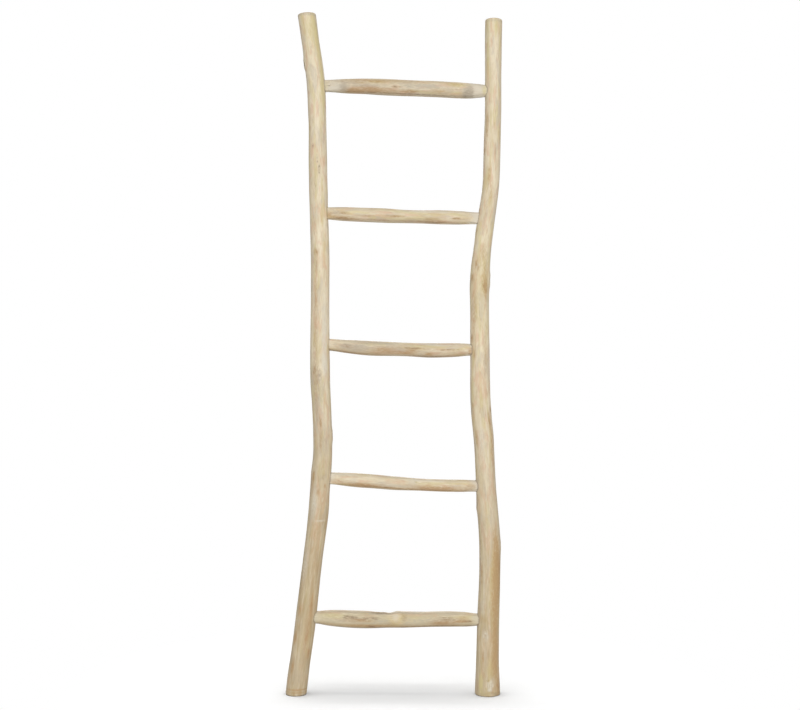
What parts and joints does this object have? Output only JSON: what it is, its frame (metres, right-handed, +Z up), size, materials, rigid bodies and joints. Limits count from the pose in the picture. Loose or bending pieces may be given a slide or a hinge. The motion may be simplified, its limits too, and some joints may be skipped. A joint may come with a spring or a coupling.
{
  "type": "towel ladder",
  "caption": "Rustic leaning towel ladder of peeled crooked branches, its rungs whittled to round tenons set in the rails.",
  "frame": {"origin": "on the floor, under the middle of the ladder's box", "axes": "+Z up the rails, +X to the right seen from the front, +Y towards the wall behind"},
  "size_m": [0.478, 0.0592, 1.5012],
  "materials": {
    "rail_wood": "peeled branch, sanded, unvarnished",
    "rung_wood": "peeled branch with whittled ends, unvarnished",
    "nail_steel": "dull bright steel"
  },
  "bodies": {
    "root": {"rail_left": "rail_wood", "rail_right": "rail_wood", "rung_1": "rung_wood", "rung_2": "rung_wood", "rung_3": "rung_wood", "rung_4": "rung_wood", "rung_5": "rung_wood", "nail_1_left": "nail_steel", "nail_1_right": "nail_steel", "nail_2_left": "nail_steel", "nail_2_right": "nail_steel", "nail_3_left": "nail_steel", "nail_3_right": "nail_steel", "nail_4_left": "nail_steel", "nail_4_right": "nail_steel", "nail_5_left": "nail_steel", "nail_5_right": "nail_steel"}
  },
  "joints": []
}
